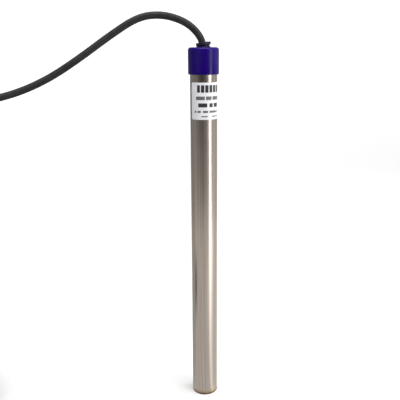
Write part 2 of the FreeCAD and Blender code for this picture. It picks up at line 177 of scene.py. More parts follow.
def lathe(name, profile, material, segments=160, shape=None, closed=False, place=None, **ride):
    """Turn an outline about +Z into a solid.

    shape(radius, height, turn) may give each point a new radius and height. A closed outline joins its
    last point to its first; an open one gets a flat end at each. An open outline runs upwards.
    """
    vertices = []
    for radius, height in profile:
        for k in range(segments):
            turn = 2 * math.pi * k / segments
            r, h = shape(radius, height, turn) if shape else (radius, height)
            vertices.append(Vector((r * math.cos(turn), r * math.sin(turn), h)))
    rows = len(profile)
    faces = []
    for row in range(rows if closed else rows - 1):
        below, above = row * segments, (row + 1) % rows * segments
        for k in range(segments):
            after = (k + 1) % segments
            faces.append((below + k, below + after, above + after, above + k))
    if not closed:
        faces.append(tuple(range(segments))[::-1])
        faces.append(tuple((rows - 1) * segments + k for k in range(segments)))
    if place:
        vertices = [place @ v for v in vertices]
    return add_mesh(name, vertices, faces, material, **ride)


# ---- materials ------------------------------------------------------------------------------
class Nodes:
    """A material's node tree, with short calls for what is used here."""

    def __init__(self, name, **sockets):
        self.material = bpy.data.materials.new(name)
        self.material.use_nodes = True
        self.tree = self.material.node_tree
        self.shader = next(n for n in self.tree.nodes if n.type == "BSDF_PRINCIPLED")
        for socket, value in sockets.items():
            self.shader.inputs[socket.replace("_", " ")].default_value = value
        self.place = self.add("ShaderNodeTexCoord").outputs["Object"]

    def add(self, kind, **values):
        node = self.tree.nodes.new(kind)
        for key, value in values.items():
            setattr(node, key, value)
        return node

    def link(self, source, target):
        self.tree.links.new(source, target)

    def scaled(self, x, y, z):
        """Object coordinates in metres, multiplied along each axis."""
        mapping = self.add("ShaderNodeMapping")
        mapping.inputs["Scale"].default_value = (x, y, z)
        self.link(self.place, mapping.inputs["Vector"])
        return mapping.outputs["Vector"]

    def noise(self, scale, detail=3.0, vector=None, rough=0.55):
        node = self.add("ShaderNodeTexNoise")
        node.inputs["Scale"].default_value = scale
        node.inputs["Detail"].default_value = detail
        node.inputs["Roughness"].default_value = rough
        self.link(vector or self.place, node.inputs["Vector"])
        return node.outputs["Fac"]

    def ramp(self, factor, *stops):
        """Colour or grey by position: stops are (position, value or colour)."""
        node = self.add("ShaderNodeValToRGB")
        elements = node.color_ramp.elements
        while len(elements) < len(stops):
            elements.new(0.5)
        for element, (position, value) in zip(elements, stops):
            element.position = position
            rgb = (value,) * 3 if isinstance(value, (int, float)) else value
            element.color = (*rgb, 1)
        self.link(factor, node.inputs["Fac"])
        return node.outputs["Color"]

    def mix(self, factor, a, b, blend="MIX"):
        """Blend two colours or greys, each a socket, a colour or a number."""
        node = self.add("ShaderNodeMix", data_type="RGBA", blend_type=blend)
        for socket, value in ((node.inputs["Factor"], factor), (node.inputs["A"], a), (node.inputs["B"], b)):
            if isinstance(value, (int, float)):
                socket.default_value = value if socket.type == "VALUE" else (value,) * 3 + (1,)
            elif isinstance(value, tuple):
                socket.default_value = (*value, 1)
            else:
                self.link(value, socket)
        return node.outputs["Result"]

    def span(self, value, low, high, to_low=0.0, to_high=1.0):
        """Map a range of values onto another, and hold it there beyond both ends."""
        node = self.add("ShaderNodeMapRange")
        for key, number in (("From Min", low), ("From Max", high), ("To Min", to_low), ("To Max", to_high)):
            node.inputs[key].default_value = number
        self.link(value, node.inputs["Value"])
        return node.outputs["Result"]

    def math(self, operation, a, b=None):
        node = self.add("ShaderNodeMath", operation=operation)
        for socket, value in zip(node.inputs, (a, b)):
            if value is None:
                continue
            if isinstance(value, (int, float)):
                socket.default_value = value
            else:
                self.link(value, socket)
        return node.outputs["Value"]

    def height(self):
        """Height above the foot, in metres."""
        node = self.add("ShaderNodeSeparateXYZ")
        self.link(self.place, node.inputs["Vector"])
        return node.outputs["Z"]

    def reach(self):
        """Distance from the middle of the foot, in metres."""
        out = self.add("ShaderNodeVectorMath", operation="LENGTH")
        self.link(self.place, out.inputs[0])
        return out.outputs["Value"]

    def colour(self, value):
        self.link(value, self.shader.inputs["Base Color"])

    def rough(self, value):
        self.link(value, self.shader.inputs["Roughness"])

    def bump(self, height, strength, distance):
        """Add a bump on top of those already there."""
        node = self.add("ShaderNodeBump")
        node.inputs["Strength"].default_value = strength
        node.inputs["Distance"].default_value = distance
        self.link(height, node.inputs["Height"])
        normal = self.shader.inputs["Normal"]
        if normal.is_linked:
            self.link(normal.links[0].from_socket, node.inputs["Normal"])
        self.link(node.outputs["Normal"], normal)


def heat_tint_and_painted_shade(m):
    """Straw and brown tints by height above the foot (the darkest brown, on the lower edge, is oxide with
    painted shade), and how near a point is to the tint's ragged line.
    """
    wobble = m.math("MULTIPLY", m.math("SUBTRACT", m.noise(170, 3), 0.5), HEAT_WOBBLE)
    level = m.span(m.math("ADD", m.height(), wobble), 0.0, 3.0 * HEAT_LINE)
    # the darkest stops, about the lowest millimetre, are oxide deepened with painted shade for the rounded
    # lower edge
    tint = m.ramp(level, (0.0, (0.10, 0.075, 0.06)), (0.04, (0.20, 0.15, 0.12)), (0.075, (0.44, 0.37, 0.29)),
                  (0.12, (0.76, 0.67, 0.54)), (0.17, (0.93, 0.84, 0.71)), (0.26, (0.99, 0.94, 0.85)),
                  (0.33, (0.95, 0.93, 0.91)), (0.37, (1.0, 1.0, 1.0)))
    # the ragged line's mask, where the steel gets a painted glint
    line = m.ramp(level, (0.24, 0.0), (0.31, 1.0), (0.34, 1.0), (0.39, 0.0))
    return tint, m.mix(1.0, line, m.ramp(m.noise(620, 4, rough=0.75), (0.42, 0.0), (0.62, 1.0)), "MULTIPLY")


def steel():
    """Satin drawn stainless: faint lines along the tube, cloudy polish, and heat tint at the foot, with
    painted shade on its lower edge and a painted glint along the tint's ragged line.
    """
    m = Nodes("stainless_satin", Metallic=1.0)
    lines = m.noise(1.0, 2.0, m.scaled(2600, 2600, 14), 0.7)
    broad = m.noise(1.0, 2.0, m.scaled(420, 420, 5), 0.6)
    cloud = m.noise(38, 4)
    base = m.ramp(broad, (0.3, (0.50, 0.425, 0.355)), (0.55, (0.55, 0.475, 0.41)), (0.75, (0.60, 0.54, 0.48)))
    base = m.mix(0.14, base, m.ramp(lines, (0.35, 0.2), (0.65, 0.95)), "OVERLAY")
    tint, painted_glint = heat_tint_and_painted_shade(m)
    # the tint's lowest brown is partly painted shade
    base = m.mix(1.0, base, tint, "MULTIPLY")
    # a lighter gold mixed in along the tint's ragged line: a painted glint
    m.colour(m.mix(m.math("MULTIPLY", painted_glint, 0.5), base, (0.72, 0.62, 0.50)))
    rough = m.span(cloud, 0.3, 0.7, 0.20, 0.27)
    m.rough(m.math("ADD", rough, m.math("MULTIPLY", painted_glint, 0.04)))
    m.bump(lines, 0.10, 0.00002)
    m.bump(m.noise(900, 3), 0.05, 0.00002)
    return m.material


def weld_metal():
    """The same steel on the weld: straw above, dark brown oxide with painted shade on the lower edge, with a
    fine grain.
    """
    m = Nodes("weld_oxide_and_painted_shade", Metallic=1.0)
    patch = m.noise(420, 4)
    base = m.ramp(patch, (0.3, (0.50, 0.43, 0.36)), (0.75, (0.60, 0.53, 0.46)))
    m.colour(m.mix(1.0, base, heat_tint_and_painted_shade(m)[0], "MULTIPLY"))
    m.rough(m.span(patch, 0.3, 0.7, 0.27, 0.21))
    m.bump(m.noise(1400, 3), 0.06, 0.00003)
    return m.material


def cap_plastic():
    """Violet-blue moulding with a faint orange-peel skin, glossier near its lower edge."""
    m = Nodes("cap_violet", IOR=1.5, Specular_IOR_Level=0.20)
    cloud = m.noise(90, 4)
    m.colour(m.ramp(cloud, (0.3, (0.0100, 0.0004, 0.124)), (0.7, (0.0140, 0.0007, 0.160))))
    skin = m.span(m.noise(160, 4), 0.3, 0.7, -0.02, 0.03)
    by_height = m.span(m.height(), CAP_LOW.z + 4 * MM, CAP_LOW.z + 14 * MM, 0.15, 0.25)
    m.rough(m.math("ADD", skin, by_height))
    m.bump(m.noise(700, 2), 0.10, 0.00005)
    m.bump(m.noise(3200, 2), 0.08, 0.00002)
    return m.material


def gland_rubber():
    """Matt rubber, nearly black, with a violet cast that is a painted reflection of the cap."""
    m = Nodes("gland_black_with_painted_violet", IOR=1.48)
    cloud = m.noise(240, 4)
    # the violet in these stops is a painted reflection of the cap; the rubber itself is near black
    m.colour(m.ramp(cloud, (0.3, (0.0045, 0.002, 0.012)), (0.7, (0.010, 0.005, 0.030))))
    m.rough(m.span(cloud, 0.3, 0.7, 0.42, 0.58))
    m.bump(m.noise(1800, 3), 0.25, 0.00005)
    return m.material


def jacket_rubber():
    """Matt black lead jacket: dusty grey bloom over black, and a fine extruded grain."""
    m = Nodes("jacket_black", IOR=1.5, Specular_IOR_Level=0.24)
    bloom = m.noise(130, 5, rough=0.65)
    grain = m.noise(2300, 3, rough=0.7)
    dust = m.ramp(bloom, (0.35, (0.012, 0.0120, 0.0122)), (0.70, (0.034, 0.0338, 0.0330)))
    m.colour(m.mix(0.35, dust, m.ramp(grain, (0.35, 0.005), (0.75, 0.078))))
    m.rough(m.span(grain, 0.3, 0.7, 0.40, 0.58))
    m.bump(grain, 0.35, 0.00009)
    m.bump(m.noise(520, 3), 0.18, 0.00012)
    return m.material


def plug_rubber():
    """Matt black moulded rubber with a fine grain."""
    m = Nodes("plug_black", IOR=1.5)
    bloom = m.noise(95, 5)
    m.colour(m.ramp(bloom, (0.3, (0.015, 0.015, 0.0155)), (0.7, (0.028, 0.028, 0.028))))
    m.rough(m.span(bloom, 0.3, 0.7, 0.44, 0.58))
    m.bump(m.noise(1500, 3), 0.30, 0.00008)
    return m.material


def foil():
    """Silvery white printed foil with a fine grain."""
    m = Nodes("label_foil", IOR=1.5)
    grain = m.noise(2100, 4, rough=0.75)
    cloud = m.noise(150, 4)
    tone = m.ramp(cloud, (0.3, (0.86, 0.86, 0.90)), (0.7, (0.93, 0.93, 0.96)))
    m.colour(m.mix(0.18, tone, m.ramp(grain, (0.3, 0.70), (0.7, 1.0))))
    m.rough(m.span(grain, 0.3, 0.7, 0.30, 0.46))
    m.bump(grain, 0.10, 0.00003)
    return m.material


def ink(name, dark, light):
    """Printing ink with a slightly uneven tone."""
    m = Nodes(name, IOR=1.5)
    m.colour(m.ramp(m.noise(1700, 3), (0.3, dark), (0.75, light)))
    m.rough(m.span(m.noise(900, 3), 0.3, 0.7, 0.35, 0.5))
    return m.material


def strap_fabric():
    """Woven black strap: crossing ribs made by two wave textures."""
    m = Nodes("strap_weave", Sheen_Weight=0.25, Sheen_Roughness=0.5)
    waves = []
    for direction in ("X", "Z"):
        wave = m.add("ShaderNodeTexWave", bands_direction=direction)
        wave.inputs["Scale"].default_value = 620
        wave.inputs["Distortion"].default_value = 1.5
        wave.inputs["Detail"].default_value = 2
        m.link(m.place, wave.inputs["Vector"])
        waves.append(wave.outputs["Fac"])
    weave = m.math("MULTIPLY", *waves)
    m.colour(m.ramp(weave, (0.1, (0.010, 0.010, 0.011)), (0.9, (0.045, 0.045, 0.048))))
    m.rough(m.span(weave, 0.0, 1.0, 0.95, 0.75))
    m.bump(weave, 0.6, 0.00015)
    return m.material


def nickel():
    """Nickel plate, faintly uneven."""
    m = Nodes("nickel_satin", Metallic=1.0)
    streak = m.noise(1.0, 3, m.scaled(900, 900, 900))
    m.colour(m.ramp(streak, (0.3, (0.58, 0.56, 0.52)), (0.7, (0.68, 0.66, 0.62))))
    m.rough(m.span(streak, 0.3, 0.7, 0.18, 0.30))
    m.bump(streak, 0.06, 0.00002)
    return m.material


def hidden(slot):
    """A grained version of a record material, for the sealed pieces inside the sheath."""
    entry = next(e for e in frame["record"]["materials"] if e["slot"] == slot)
    metal = entry["class"] in ("brushed_steel", "chrome", "brass", "aluminium")
    m = Nodes(f"inner_{slot}", Metallic=1.0 if metal else 0.0)
    grain = m.noise(600 if metal else 1100, 4)
    darker, lighter = 0.75, 1.15
    dark = tuple(darker * c for c in entry["base_color"][:3])
    light = tuple(min(1.0, lighter * c) for c in entry["base_color"][:3])
    m.colour(m.ramp(grain, (0.3, dark), (0.7, light)))
    m.rough(m.span(grain, 0.3, 0.7, 0.30, 0.45) if metal else m.span(grain, 0.3, 0.7, 0.55, 0.8))
    m.bump(grain, 0.2, 0.00005)
    return m.material


STEEL = steel()
JACKET = jacket_rubber()
PLUG_SKIN = plug_rubber()
NICKEL = nickel()


# ---- sheath and foot ------------------------------------------------------------------------
def make_sheath():
    """The drawn tube, open at both ends."""
    bottom, top = TUBE_LOW.z, TUBE_HIGH.z
    edge = 0.1 * MM                 # rows this near each end keep the shading flat up to the corner
    rows = 24
    heights = [bottom + edge + (top - bottom - 2 * edge) * k / rows for k in range(rows + 1)]
    outside = [(TUBE_R, h) for h in [bottom] + heights + [top]]
    inside = [(TUBE_R - TUBE_WALL, h) for h in (top, bottom)]
    lathe("sheath", outside + inside, STEEL, 256, closed=True, node="sheath_tube", slot="stainless")


def make_foot():
    """The weld: dressed almost flush with the sheath, rounded under, with fine ripples round it."""
    r = TUBE_R + WELD_PROUD
    from_the_top = fillet([
        (TUBE_R - 0.75 * MM, WELD_TOP), (TUBE_R, WELD_TOP), (TUBE_R, WELD_TOP - 0.06 * MM),
        (r, 1.5 * MM, 0.5 * MM),
        (r, 0.05 * MM, 0.75 * MM), (TUBE_R - 1.0 * MM, 0.0, 0.4 * MM), (TUBE_R - 1.6 * MM, 0.06 * MM),
    ], steps=8)

    def ripple(radius, height, turn):
        """Push the weld's side in and out, and fade that out under the foot."""
        wave = math.sin(58 * turn) + 0.6 * math.sin(23 * turn + 1.3) + 0.5 * math.sin(7 * turn + 0.4)
        share = smoothstep((radius - TUBE_R + 0.4 * MM) / (0.6 * MM)) * smoothstep(height / (0.6 * MM))
        return radius + WELD_RIPPLE * wave * share, height

    lathe("foot_weld", from_the_top[::-1], weld_metal(), 512, ripple, node="end_weld", slot="stainless_weld")


# ---- cap and gland --------------------------------------------------------------------------
def make_cap():
    """The moulded cap: a skirt over the sheath, a rounded shoulder and a shallow hollow round the gland."""
    bottom, top = CAP_LOW.z, CAP_HIGH.z
    inner = TUBE_R + 0.02 * MM
    hollow = top - CAP_RECESS
    outline = fillet([
        (inner, bottom + 6 * MM), (inner, bottom + 0.25 * MM, 0.2 * MM),
        (inner + 0.5 * MM, bottom, 0.15 * MM), (CAP_R - 0.02 * MM, bottom, 1.1 * MM),
        (CAP_R, top, 2.9 * MM), (CAP_RECESS_R + 0.3 * MM, top, 0.4 * MM),
        (CAP_RECESS_R, hollow, 0.3 * MM), (CAP_HOLE_R + 0.2 * MM, hollow, 0.1 * MM),
        (CAP_HOLE_R, top - 4 * MM), (13.5 * MM, top - 4.1 * MM),
    ], steps=10)
    lathe("cap_shell", outline, cap_plastic(), 256, closed=True, node="cap", slot="cap_plastic")


def make_gland():
    """Rubber gland: a foot rim, a groove, and a flange that the lead pulls over to one side."""
    base = CAP_HIGH.z
    slope = math.tan(math.radians(GLAND_TILT))
    flange_top = base + 4.8 * MM
    outline = fillet([
        (5.9 * MM, base - 3 * MM), (5.9 * MM, base - 0.4 * MM), (GLAND_FOOT_R, base - 0.35 * MM),
        (GLAND_FOOT_R + 0.05 * MM, base + 1.0 * MM, 0.5 * MM),
        (GLAND_NECK_R + 0.05 * MM, base + 1.15 * MM, 0.3 * MM), (GLAND_NECK_R, base + 1.75 * MM, 0.3 * MM),
        (GLAND_FLANGE_R, base + 2.0 * MM, 0.4 * MM), (GLAND_FLANGE_R, flange_top, 0.45 * MM),
        (4.6 * MM, flange_top, 0.4 * MM), (4.2 * MM, flange_top + 0.3 * MM, 0.3 * MM),
        (3.5 * MM, flange_top + 0.3 * MM), (3.3 * MM, flange_top - 0.9 * MM),
    ], steps=8)

    def pulled(radius, height, turn):
        """Tilt what is above the foot rim."""
        share = smoothstep((height - base - 0.9 * MM) / (1.2 * MM))
        return radius, height + share * slope * radius * math.cos(turn)

    lathe("gland_body", outline, gland_rubber(), 192, pulled, node="cable_gland", slot="gland_rubber")


# ---- label ----------------------------------------------------------------------------------
def wrapped_plate(name, turn_from, turn_to, low, high, corner, inner, outer, material, **ride):
    """A thin plate wrapped round the sheath between two turns in degrees, with rounded corners."""
    per_degree = math.radians(1) * outer
    length = (turn_to - turn_from) * per_degree
    corner = min(corner, length / 2, (high - low) / 2)
    rounding, spacing = 6, 0.5 * MM         # steps round a corner, and the distance between steps along it
    stations = [corner * (1 - math.cos(math.pi / 2 * k / rounding)) for k in range(rounding + 1)]
    middle = max(2, int((length - 2 * corner) / spacing))
    stations += [corner + (length - 2 * corner) * k / middle for k in range(1, middle)]
    stations += [length - s for s in stations[rounding::-1]]
    vertices, faces = [], []
    for s in stations:
        inset = min(s, length - s)
        cut = corner - math.sqrt(max(0.0, corner ** 2 - (corner - min(inset, corner)) ** 2))
        turn = turn_from + s / per_degree
        bottom, top = low + cut, high - cut
        for radius, height in ((outer, bottom), (outer, top), (inner, top), (inner, bottom)):
            vertices.append(around_rod(turn, radius, height))
    for k in range(len(stations) - 1):
        a, b = 4 * k, 4 * k + 4
        faces += [(a + j, b + j, b + (j + 1) % 4, a + (j + 1) % 4) for j in range(4)]
    faces += [(0, 1, 2, 3), tuple(4 * len(stations) - 1 - j for j in range(4))]
    piece = add_mesh(name, vertices, faces, material, **ride)
    piece.data.shade_flat()
    return piece


def make_label():
    """The foil and, in place of words, rows of generic bars."""
    low, high = LABEL_LOW.z, LABEL_HIGH.z
    wrapped_plate("label_plate", LABEL_FROM, LABEL_TO, low, high, LABEL_CORNER,
                  LABEL_BACK, LABEL_FACE, foil(), node="rating_label", slot="label_foil")
    dark = ink("label_ink", (0.012, 0.012, 0.014), (0.045, 0.045, 0.05))
    faint = ink("label_faint_ink", (0.10, 0.10, 0.11), (0.19, 0.19, 0.20))
    # each row of generic bars: top and height in mm below the label's top edge, ink, then bars in degrees
    rows = [
        (2.6, 7.4, dark, [(-29, -16), (-12, 2), (6, 20), (24, 38), (42, 56), (60, 74), (78, 84)]),
        (13.9, 3.6, faint, [(-34, 4), (9, 34), (39, 88)]),
        (20.8, 4.0, dark, [(-24, 14), (24, 40), (46, 74)]),
        (28.3, 2.2, faint, [(-41, -33), (-28, -13), (-4, 18), (24, 62), (68, 94)]),
        (33.6, 1.2, faint, [(-12, 16), (36, 75)]),
    ]
    for row, (drop, tall, material, bars) in enumerate(rows):
        for k, (start, end) in enumerate(bars):
            top = high - drop * MM
            wrapped_plate(f"label_bar_{row}_{k}", start, end, top - tall * MM, top, 0.5 * MM,
                          LABEL_FACE - INK_SUNK, LABEL_FACE + INK_PROUD, material, slot="label_foil")


# ---- lead -----------------------------------------------------------------------------------
def round_coil(angle, radius, height):
    """A point at a distance from the coil's own axis: the angle in degrees from +X."""
    a = math.radians(angle)
    return Vector((COIL_MID.x + radius * math.cos(a), COIL_MID.y + radius * math.sin(a), height))


def coil_points():
    """Control points of the coil: four columns of four turns, from the outside top to the inside top."""
    middle = (COIL_COLUMNS - 1) / 2
    low = COIL_LOW.z + CORD_D / 2
    swell = 2 / (1 + math.cos(math.pi / POINTS_A_TURN))
    turns = COIL_COLUMNS * COIL_ROWS
    places = []
    for turn in range(turns):
        column, row = divmod(turn, COIL_ROWS)
        going_down = column % 2 == 0
        places.append((COIL_MEAN_R + (middle - column) * CORD_PITCH,
                       low + (COIL_ROWS - 1 - row if going_down else row) * CORD_PITCH))
    places.append((places[-1][0], places[-1][1] + 0.35 * CORD_PITCH))
    stepping = 0.25               # the last part of each turn, where the lead steps over to the next
    slack = 0.18 * MM             # how far a turn wanders in and out
    points = []
    for turn in range(turns):
        for k in range(POINTS_A_TURN):
            share = k / POINTS_A_TURN
            step = smoothstep((share - 1 + stepping) / stepping)
            (r0, z0), (r1, z1) = places[turn], places[turn + 1]
            radius = (r0 + (r1 - r0) * step) * swell
            radius += slack * math.sin(2 * math.pi * share * 3 + 1.7 * turn)
            points.append(round_coil(COIL_START - 360 * share, radius, z0 + (z1 - z0) * step))
    return points


def make_cord():
    """The lead in one piece: down the route, round the coil's turns, and up the tail into the plug."""
    points = [Vector(p) * MM for p in CORD_ROUTE] + coil_points()
    last_turn_r = COIL_MEAN_R - (COIL_COLUMNS - 1) / 2 * CORD_PITCH
    coil_end, tail_start = 27.6 * MM, 28.0 * MM     # heights at which it leaves the coil for the tail
    points.append(round_coil(COIL_START, last_turn_r, coil_end))
    points.append(round_coil(COIL_START - 20, last_turn_r, tail_start))
    points += [Vector(p) * MM for p in TAIL_ROUTE]
    curve = bpy.data.curves.new("mains_lead", "CURVE")
    curve.dimensions = "3D"
    curve.bevel_depth = CORD_D / 2
    curve.bevel_resolution = 7
    curve.use_fill_caps = True
    curve.resolution_u = 6
    spline = curve.splines.new("NURBS")
    spline.points.add(len(points) - 1)
    for target, point in zip(spline.points, points):
        target.co = (*point, 1)
    spline.order_u = 3
    spline.use_endpoint_u = True
    curve.materials.append(JACKET)
    cord = bpy.data.objects.new("mains_lead", curve)
    bpy.context.collection.objects.link(cord)
    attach(cord, HEATER)
    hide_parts("power_cord", "cord_coil", "cord_tail")
    return cord


def make_ties():
    """Two woven straps round the coil's bundle of turns, on opposite sides."""
    fabric = strap_fabric()
    wide, deep = COIL_COLUMNS * CORD_PITCH, COIL_ROWS * CORD_PITCH
    inner_r, bottom = COIL_MEAN_R - wide / 2, COIL_LOW.z
    thick, half, corner, bevel = 0.8 * MM, 5.8 * MM, 3.4 * MM, 0.3 * MM
    path, steps = [], 6
    near, right, high = corner, wide - corner, deep - corner
    for x, z, first in ((near, near, 180), (right, near, 270), (right, high, 0), (near, high, 90)):
        for k in range(steps + 1):
            a = math.radians(first + 90 * k / steps)
            path.append((Vector((x, z)), Vector((math.cos(a), math.sin(a)))))
    # the strap's section: sideways place, then the share of its thickness outward
    section = [(-half, 0.25), (-half, 0.85), (-half + bevel, 1.0), (half - bevel, 1.0),
               (half, 0.85), (half, 0.25), (half - bevel, 0.1), (-half + bevel, 0.1)]
    pieces = []
    for number, angle in enumerate((COIL_START, COIL_START + 180), start=1):
        vertices, faces = [], []
        spin = Matrix.Translation((COIL_MID.x, COIL_MID.y, 0)) @ Matrix.Rotation(math.radians(angle), 4, "Z")
        for centre, out in path:
            for side, share in section:
                at = centre + out * (corner + share * thick)
                vertices.append(spin @ Vector((inner_r + at.x, side, bottom + at.y)))
        count = len(section)
        for k in range(len(path)):
            a, b = k * count, (k + 1) % len(path) * count
            faces += [(a + j, a + (j + 1) % count, b + (j + 1) % count, b + j) for j in range(count)]
        pieces.append(add_mesh(f"coil_strap_{number}", vertices, faces, fabric,
                               node=f"coil_tie_{number}", slot="tie_fabric"))
    return pieces


# ---- plug -----------------------------------------------------------------------------------
def plug_place():
    """From a frame with its tail at the origin and its pins towards +Z, to the plug's place."""
    spin = Matrix.Rotation(math.radians(PLUG_TURN), 4, "Z") @ Matrix.Rotation(math.radians(90), 4, "Y")
    return Matrix.Translation(PLUG_TAIL_AT) @ spin


def plug_moulding(place):
    """The plug's body: a ribbed grip that widens into a round barrel with an earth groove on each side."""
    groove_half, groove_floor = 3.0 * MM, PLUG_R - 2.2 * MM

    def grooved(radius, height, turn):
        """Cut the two earth grooves down the barrel's sides."""
        if height < GRIP_END - 1 * MM or radius < PLUG_R - 4 * MM:
            return radius, height
        across = abs(radius * math.cos(turn))
        share = 1 - smoothstep((across - groove_half + 0.35 * MM) / (0.5 * MM))
        return radius - share * max(0.0, radius - groove_floor), height

    body = [(PLUG_CORE_R, RELIEF_L - 0.5 * MM), (8.6 * MM, RELIEF_L, 1.2 * MM),
            (9.6 * MM, RELIEF_L + 3 * MM, 2 * MM)]
    for k in range(GRIP_RIBS):
        low = RELIEF_L + 5 * MM + k * GRIP_RIB_PITCH
        r = 10.0 * MM + 0.42 * MM * k
        body += [(r, low, 0.3 * MM), (r - 0.7 * MM, low + 0.3 * MM, 0.3 * MM),
                 (r - 0.6 * MM, low + 1.1 * MM, 0.3 * MM), (r + 0.2 * MM, low + 1.4 * MM, 0.3 * MM)]
    body += [
        (12.6 * MM, GRIP_END - 4.5 * MM, 2 * MM), (PLUG_R - 0.6 * MM, GRIP_END - 0.4 * MM, 1.2 * MM),
        (PLUG_R, GRIP_END + 0.8 * MM, 0.6 * MM), (PLUG_R, GRIP_END + 6 * MM), (PLUG_R, PLUG_FACE, 1.0 * MM),
        (16.0 * MM, PLUG_FACE, 0.4 * MM), (15.6 * MM, PLUG_FACE - 0.5 * MM, 0.3 * MM),
        (PLUG_CORE_R, PLUG_FACE - 0.5 * MM),
    ]
    return lathe("plug_moulding", fillet(body, 4), PLUG_SKIN, 240, grooved, place=place,
                 node="plug_body", slot="plug_rubber")


def plug_relief(place):
    """The tapered strain relief, ringed so that it bends."""
    relief = [(CORD_HOLE_R, 0.0), (4.3 * MM, 0.0, 0.4 * MM)]
    pitch = RELIEF_RIB_PITCH
    for k in range(RELIEF_RIBS):
        low, r = k * pitch + 0.6 * MM, (4.5 + 0.55 * k) * MM
        relief += [(r, low, 0.3 * MM), (r + 0.2 * MM, low + 0.6 * pitch, 0.3 * MM),
                   (r - 0.75 * MM, low + 0.68 * pitch, 0.15 * MM),
                   (r - 0.7 * MM, low + 0.95 * pitch, 0.15 * MM)]
    relief += [(7.6 * MM, RELIEF_L), (CORD_HOLE_R, RELIEF_L)]
    return lathe("plug_strain_relief", fillet(relief, 3), PLUG_SKIN, 96, closed=True, place=place,
                 node="plug_relief", slot="plug_rubber")


def plug_pin(number, side, place):
    """A round pin with a rounded tip, let into the barrel's face."""
    axis_r, root = 0.1 * MM, PLUG_FACE - 3 * MM
    outline = fillet([(axis_r, root), (PIN_R, root, 0.1 * MM), (PIN_R, PLUG_FACE + 6 * MM),
                      (PIN_R, PLUG_FACE + PIN_L, PIN_TIP_ROUND), (axis_r, PLUG_FACE + PIN_L)], 8)
    shift = Matrix.Translation((side * PIN_SPACING / 2, 0, 0))
    return lathe(f"plug_pin_{number}", outline, NICKEL, 64, place=place @ shift,
                 node="plug_pins" if number == 1 else None, slot="pin_metal")


def earth_strip(number, side, place):
    """A sprung contact strip, bowed outward, in the barrel's side groove."""
    half, thick, count = 1.9 * MM, 0.7 * MM, 16
    low, length, bow = GRIP_END + 1.6 * MM, BARREL_L - 2.2 * MM, 0.9 * MM
    vertices, faces = [], []
    for k in range(count + 1):
        share = k / count
        z = low + share * length
        r = PLUG_R - 2.25 * MM + bow * math.sin(math.pi * share)
        for x, y in ((-half, r), (half, r), (half, r + thick), (-half, r + thick)):
            vertices.append(place @ Vector((x, side * y, z)))
    for k in range(count):
        a, b = 4 * k, 4 * k + 4
        quads = [(a + j, a + (j + 1) % 4, b + (j + 1) % 4, b + j) for j in range(4)]
        faces += quads if side > 0 else [q[::-1] for q in quads]
    ends = [(3, 2, 1, 0), tuple(4 * count + j for j in range(4))]
    faces += ends if side > 0 else [e[::-1] for e in ends]
    piece = add_mesh(f"plug_earth_strip_{number}", vertices, faces, NICKEL,
                     node="plug_earth_strips" if number == 1 else None, slot="pin_metal")
    piece.data.shade_flat()
    return piece


def make_plug():
    """The plug's pieces, on the coil."""
    place = plug_place()
    sides = list(enumerate((-1, 1), start=1))
    pieces = [plug_moulding(place), plug_relief(place)]
    pieces += [plug_pin(number, side, place) for number, side in sides]
    pieces += [earth_strip(number, side, place) for number, side in sides]
    return pieces


# ---- sealed inner pieces and the end disc ---------------------------------------------------
def finish_cad_nodes():
    """Give every CAD node that is still shown a grained material of its own slot."""
    slots = {entry["node"]: entry["material_slot"] for entry in frame["record"]["subparts"]}
    made = {"stainless": STEEL}
    for node, piece in frame["nodes"].items():
        slot = slots[node]
        if slot not in made:
            made[slot] = hidden(slot)
        for material_slot in piece.material_slots:
            material_slot.material = made[slot]


# ---- stage: floor, lights and camera --------------------------------------------------------
def reflection_only(piece):
    """Make a stage piece that nothing but reflections sees."""
    for ray in ("camera", "diffuse", "shadow", "transmission", "volume_scatter"):
        setattr(piece, f"visible_{ray}", False)


def stage_mesh(name, vertices, faces, material):
    """A mesh that belongs to the stage, not to the part."""
    mesh = bpy.data.meshes.new(name)
    mesh.from_pydata([tuple(v) for v in vertices], [], faces)
    mesh.materials.append(material)
    piece = bpy.data.objects.new(name, mesh)
    bpy.context.collection.objects.link(piece)
    return piece


def by_turn(nodes, *stops):
    """A grey by the turn from the front: stops are (degrees from -180 to 180, grey).

    Returns the shade, scaled so that its brightest stop is 1, and that stop's grey.
    """
    split = nodes.add("ShaderNodeSeparateXYZ")
    nodes.link(nodes.place, split.inputs["Vector"])
    turn = nodes.math("ARCTAN2", split.outputs["X"], nodes.math("MULTIPLY", split.outputs["Y"], -1))
    brightest = max(grey for _, grey in stops)
    scaled = [((degrees + 180) / 360, grey / brightest) for degrees, grey in stops]
    shade = nodes.ramp(nodes.span(turn, -math.pi, math.pi), *scaled)
    return shade, brightest


def emitter(name, build):
    """A stage material that only glows; build(nodes) gives the colour and the strength."""
    m = Nodes(name)
    glow = m.add("ShaderNodeEmission")
    colour, strength = build(m)
    m.link(colour, glow.inputs["Color"])
    glow.inputs["Strength"].default_value = strength
    out = next(n for n in m.tree.nodes if n.type == "OUTPUT_MATERIAL")
    m.link(glow.outputs["Emission"], out.inputs["Surface"])
    m.tree.nodes.remove(m.shader)
    return m.material


def wall_glow(m):
    """Two belts of greys by direction: the low one fades with height into the high one."""
    low, strength = by_turn(
        m, (-180, 0.45), (-146, 0.40), (-116, 0.29), (-98, 0.40), (-83, 0.52), (-62, 0.42), (-43, 0.40),
        (-25, 0.36), (-8, 0.34), (8, 0.42), (30, 0.52), (75, 0.70), (108, 0.70), (146, 0.5), (180, 0.45))
    high, high_strength = by_turn(
        m, (-180, 0.30), (-146, 0.28), (-108, 0.29), (-83, 0.27), (-62, 0.21), (-43, 0.12), (-25, 0.05),
        (-8, 0.035), (8, 0.05), (25, 0.14), (40, 0.32), (62, 0.52), (83, 0.47), (108, 0.60), (146, 0.4),
        (180, 0.30))
    high = m.mix(1.0, high, high_strength / strength, "MULTIPLY")
    fade_height = 0.32
    return m.mix(m.span(m.height(), 0.0, fade_height), low, high), strength


